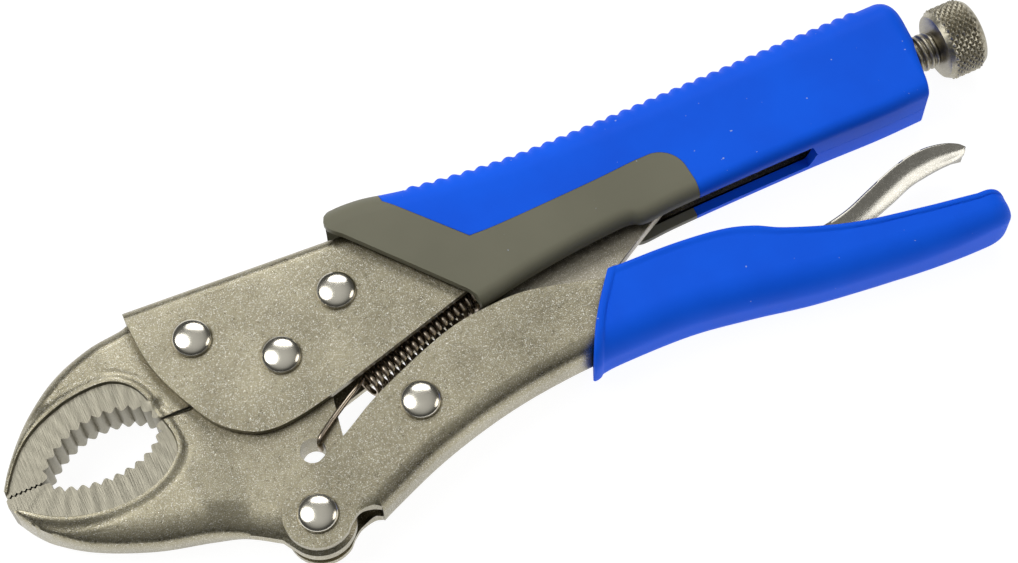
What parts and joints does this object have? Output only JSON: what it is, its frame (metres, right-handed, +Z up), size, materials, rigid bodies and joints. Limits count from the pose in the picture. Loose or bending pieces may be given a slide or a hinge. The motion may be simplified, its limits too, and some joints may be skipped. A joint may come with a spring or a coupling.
{
  "type": "locking pliers",
  "caption": "Curved-jaw locking pliers with toothed jaws, toggle link, tension spring, release lever, soft grips and a knurled adjusting screw.",
  "frame": {"origin": "middle of the bounding box's bottom, with the closed pliers lying flat on their side", "axes": "+X from the jaws to the adjusting knob, parallel to the screw; +Y from the lower handle to the upper handle; +Z up, along every hinge pin"},
  "size_m": [0.2502, 0.0748, 0.019],
  "materials": {
    "nickel": "satin blasted nickel plate over steel, warm grey with a fine sparkling grain",
    "polished_nickel": "polished",
    "smooth_nickel": "smooth nickel plate",
    "blue_rubber": "matt royal blue soft plastic",
    "grey_rubber": "matt olive grey soft plastic",
    "spring_wire": "dark drawn spring wire"
  },
  "bodies": {
    "upper_handle": {"frame_channel": "nickel", "upper_jaw": "nickel", "jaw_front_rivet": "polished_nickel", "jaw_rear_rivet": "polished_nickel", "jaw_pivot_rivet": "polished_nickel", "upper_grip": "blue_rubber", "grip_collar": "grey_rubber", "screw_sleeve": "nickel", "spring_anchor_pin": "nickel", "tension_spring": "spring_wire"},
    "lower_jaw": {"lower_jaw": "nickel"},
    "lower_handle": {"lower_channel": "nickel", "handle_pivot_rivet": "polished_nickel", "link_pivot_rivet": "polished_nickel", "lever_pin": "polished_nickel", "lower_grip": "blue_rubber"},
    "toggle_link": {"toggle_link": "nickel"},
    "release_lever": {"release_lever": "smooth_nickel"},
    "adjusting_screw": {"adjusting_screw": "smooth_nickel"},
    "adjusting_knob": {"adjusting_knob": "smooth_nickel"}
  },
  "joints": [
    {"name": "jaw_hinge", "type": "hinge", "parent": "upper_handle", "child": "lower_jaw", "pos_m": [-0.0569, 0.0084, 0.0095], "axis": [0, 0, 1], "range_deg": [0, 22], "deforming": ["tension_spring"]},
    {"name": "handle_hinge", "type": "hinge", "parent": "lower_jaw", "child": "lower_handle", "pos_m": [-0.0643, -0.0292, 0.0095], "axis": [0, 0, 1], "range_deg": [-67.6, 0]},
    {"name": "link_hinge", "type": "hinge", "parent": "lower_handle", "child": "toggle_link", "pos_m": [-0.0331, -0.0148, 0.0095], "axis": [0, 0, 1], "range_deg": [0, 66.6]},
    {"name": "lever_hinge", "type": "hinge", "parent": "lower_handle", "child": "release_lever", "pos_m": [0.0251, -0.0156, 0.0095], "axis": [0, 0, 1], "range_deg": [-5, 0]},
    {"name": "screw_slide", "type": "slide", "parent": "upper_handle", "child": "adjusting_screw", "axis": [1, 0, 0], "range_m": [0, 0.012]},
    {"name": "knob_spin", "type": "hinge", "parent": "adjusting_screw", "child": "adjusting_knob", "pos_m": [0.1201, 0.0164, 0.0095], "axis": [1, 0, 0], "range_deg": [0, 2880]}
  ],
  "couplings": [
    {"joint": "handle_hinge", "follows": "jaw_hinge", "ratio": -3.0703},
    {"joint": "link_hinge", "follows": "jaw_hinge", "ratio": 3.0234},
    {"joint": "knob_spin", "follows": "screw_slide", "rad_per_m": 4188.8}
  ]
}
